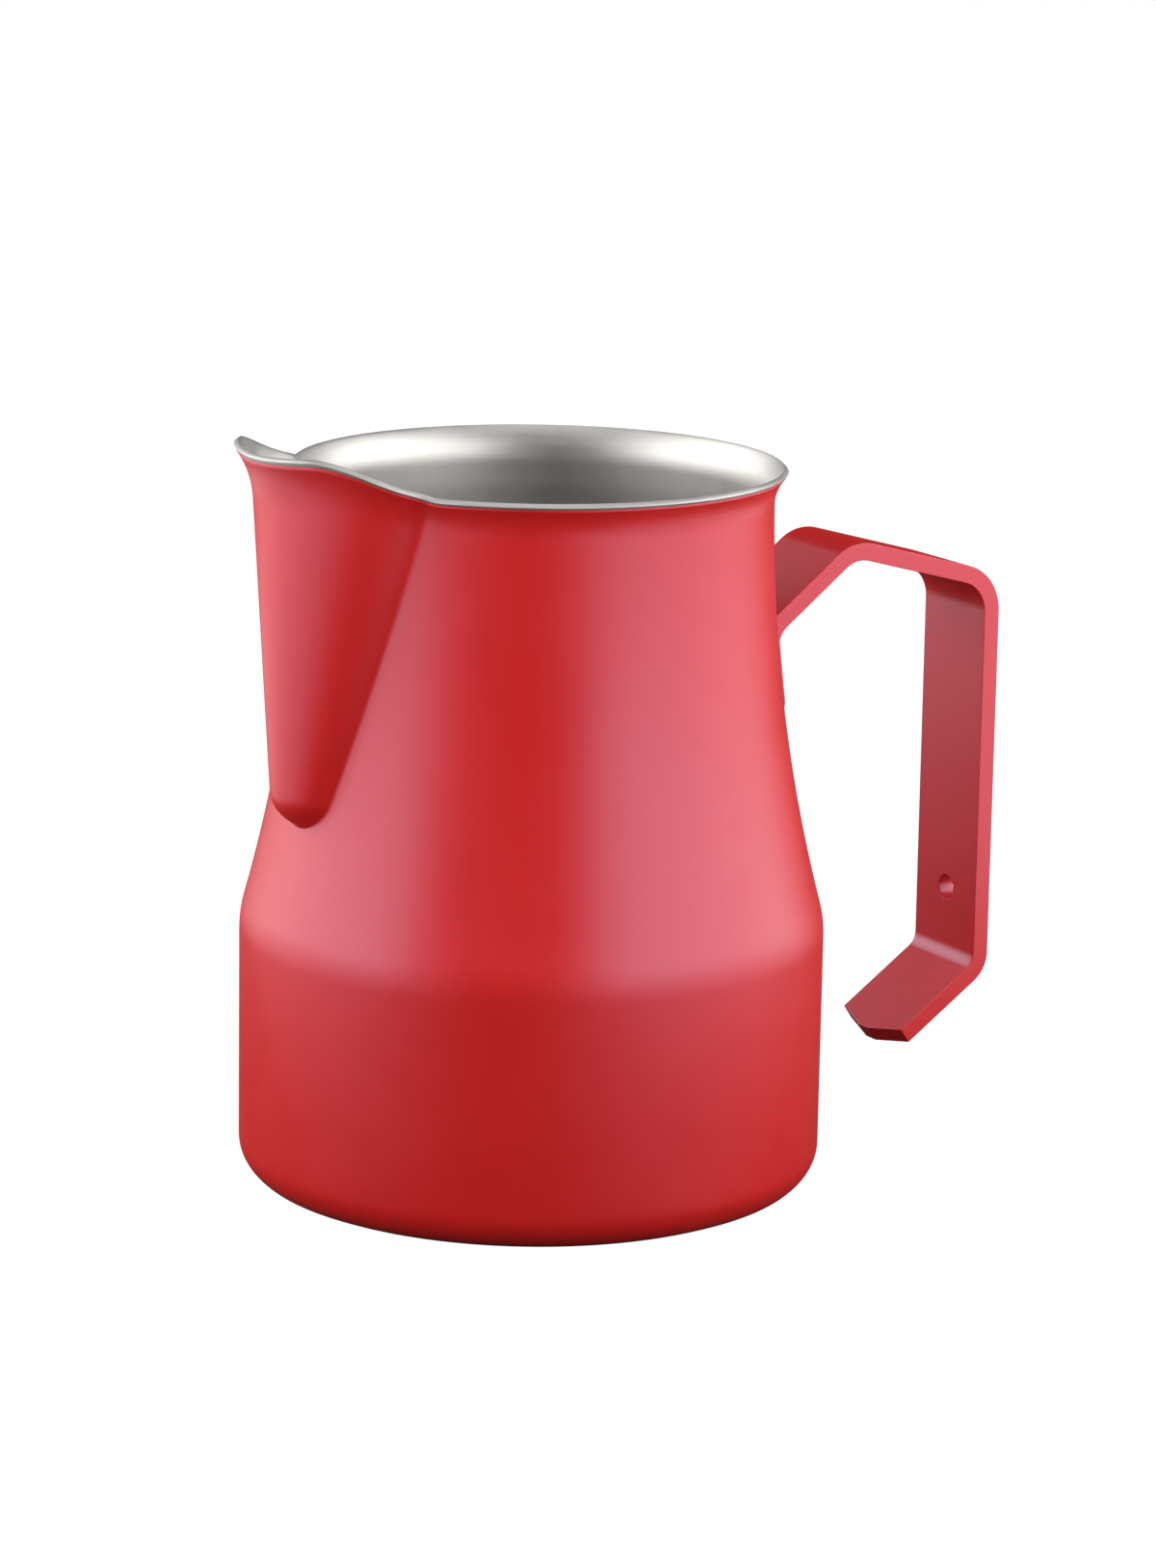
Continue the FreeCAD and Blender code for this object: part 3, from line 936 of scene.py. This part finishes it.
# %% Give every piece its finish and tie it to the frame
finished = (
    (steel_cup, inside_steel, "vessel", "satin_steel"),
    (cup_coat, red_cup, "vessel_coat", "red_coat"),
    (steel_strip, strip_steel, "handle_strap", "strap_steel"),
    (strip_coat, red_strip, "handle_coat", "red_coat_handle"),
)
for piece, finish, cad_node, slot in finished:
    piece.data.materials.clear()
    piece.data.materials.append(finish)
    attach(piece, "root")
    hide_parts(cad_node)

welds = frame["nodes"]["spot_welds"]
welds.data.materials.clear()
welds.data.materials.append(weld_steel)
print("tied:", [piece.name for piece, *_ in finished])

# %% [markdown]
# ## Camera
#
# A long lens from a little above, as for a catalogue picture. The camera stands to the left of the
# front, so the spout turns towards it and the handle away.

# %% Camera
scene = bpy.context.scene
camera = bpy.data.objects.new("camera", bpy.data.cameras.new("camera"))
scene.collection.objects.link(camera)
scene.camera = camera


def around(azimuth, elevation):
    """Direction from the object. Azimuth 0 is -Y and 90 is +X, in degrees."""
    a, e = math.radians(azimuth), math.radians(elevation)
    return Vector((math.sin(a) * math.cos(e), -math.cos(a) * math.cos(e), math.sin(e)))


camera_azimuth, camera_elevation, camera_distance = -30.5, 13.138, 0.7301
toward = around(camera_azimuth, camera_elevation)
camera.location = Vector((0.0, 0.0, 0.055)) + toward * camera_distance
look = (-toward).to_track_quat("-Z", "Y")
camera.rotation_mode = "QUATERNION"
camera.rotation_quaternion = look @ Quaternion((0.0, 0.0, 1.0), math.radians(0.909))
camera.data.sensor_width = 36.0
camera.data.lens = 115.46
camera.data.shift_x, camera.data.shift_y = 0.0285, 0.0127
print("camera:", round(camera_distance, 3), "m away, lens", round(camera.data.lens, 1), "mm")

# %% [markdown]
# ## Studio
#
# Two broad softboxes stand on the table, one each side, with a dark gap between them where the
# camera is. The gap gives the deep red band down the middle of the cup, and the boxes give the
# soft pink bands beside it. The upright lower wall mirrors the table and not the boxes, so a dim
# glowing card lies on the table each side to give it a weaker band. Two fill lamps even out the
# body colour. The one in front isn't mirrored, so that the middle band stays deep.

# %% Lamps
def softbox(name, azimuth, distance, width, low, high, brightness):
    """An upright panel that faces the axis. Brightness is its radiance."""
    lamp = bpy.data.lights.new(name, "AREA")
    lamp.shape = "RECTANGLE"
    lamp.size, lamp.size_y = width, high - low
    lamp.energy = brightness * math.pi * lamp.size * lamp.size_y
    made = bpy.data.objects.new(name, lamp)
    scene.collection.objects.link(made)
    made.location = around(azimuth, 0.0) * distance + Vector((0.0, 0.0, (low + high) / 2.0))
    made.rotation_mode = "QUATERNION"
    made.rotation_quaternion = (-around(azimuth, 0.0)).to_track_quat("-Z", "Y")
    made.visible_camera = False
    return made


softbox("softbox_right", camera_azimuth + 78.0, 0.9, 2.2, 0.02, 1.05, 3.7)
softbox("softbox_left", camera_azimuth - 95.0, 0.9, 1.9, 0.02, 1.2, 3.6)


def fill(name, azimuth, elevation, distance, size, brightness, mirrored):
    """A lamp aimed at the foot of the axis, mirrored in the pieces or not."""
    made = softbox(name, azimuth, distance, size, 0.0, size, brightness)
    made.location = around(azimuth, elevation) * distance
    made.rotation_quaternion = (-made.location).to_track_quat("-Z", "Y")
    made.visible_glossy = mirrored
    return made


def card(name, azimuth, distance, width, depth, brightness):
    """A panel that lies on the table and faces up."""
    made = softbox(name, azimuth, distance, width, 0.0, depth, brightness)
    made.location.z = 0.004
    made.rotation_quaternion = Quaternion((0.0, 0.0, 1.0), math.radians(azimuth)) @ Quaternion(
        (1.0, 0.0, 0.0), math.pi)
    return made


card("card_right", camera_azimuth + 72.0, 0.42, 0.75, 0.55, 1.5)
card("card_left", camera_azimuth - 85.0, 0.42, 0.75, 0.55, 1.2)
fill("fill_front", camera_azimuth - 25.0, 35.0, 1.6, 1.2, 2.1, mirrored=False)
fill("fill_top", camera_azimuth, 85.0, 1.4, 0.9, 1.7, mirrored=True)
print("lamps:", sorted(lamp.name for lamp in bpy.data.lights))

# %% [markdown]
# ## White surroundings
#
# The camera should see plain white, as in a cut-out catalogue picture, and the coat should mirror
# dark surroundings, or its red would go pale all over. So the world and the table each have two
# looks, one for what the camera sees directly and one for the light that reaches the pitcher.

# %% Colour handling, world and floor
scene.view_settings.view_transform = "Standard"


def seen_and_lit(tree, seen, lit, output):
    """White to the camera, and something dimmer to the light that the object gathers."""
    ray = node(tree, "ShaderNodeLightPath").outputs["Is Camera Ray"]
    both = tree.nodes.new("ShaderNodeMixShader")
    feed(tree, ray, both.inputs[0])
    feed(tree, lit, both.inputs[1])
    feed(tree, seen, both.inputs[2])
    feed(tree, both.outputs[0], output.inputs[0])


world = bpy.data.worlds.new("studio")
scene.world = world
world.use_nodes = True
sky = world.node_tree
sky.nodes.clear()
seen_and_lit(
    sky,
    node(sky, "ShaderNodeBackground", (1.0, 1.0, 1.0, 1.0), 1.0).outputs[0],
    node(sky, "ShaderNodeBackground", (1.0, 1.0, 1.0, 1.0), 0.04).outputs[0],
    node(sky, "ShaderNodeOutputWorld"),
)

table = bpy.data.materials.new("pale_table")
table.use_nodes = True
table_tree = table.node_tree
table_tree.nodes.clear()
glow = node(table_tree, "ShaderNodeEmission", (1.0, 1.0, 1.0, 1.0), 0.98).outputs[0]
pale = node(table_tree, "ShaderNodeBsdfDiffuse", (0.12, 0.12, 0.12, 1.0)).outputs[0]
glowing_table = node(table_tree, "ShaderNodeAddShader", glow, pale).outputs[0]
seen_and_lit(
    table_tree,
    glowing_table,
    node(table_tree, "ShaderNodeBsdfDiffuse", (0.05, 0.05, 0.05, 1.0)).outputs[0],
    node(table_tree, "ShaderNodeOutputMaterial"),
)
floor_mesh = bpy.data.meshes.new("floor")
reach = 8.0      # metres from the middle to each edge
floor_mesh.from_pydata(
    [(-reach, -reach, 0.0), (reach, -reach, 0.0), (reach, reach, 0.0), (-reach, reach, 0.0)],
    [], [(0, 1, 2, 3)])
floor_mesh.materials.append(table)
floor = put_in_scene("floor", floor_mesh)
print("floor:", 2.0 * reach, "m square, world:", world.name)
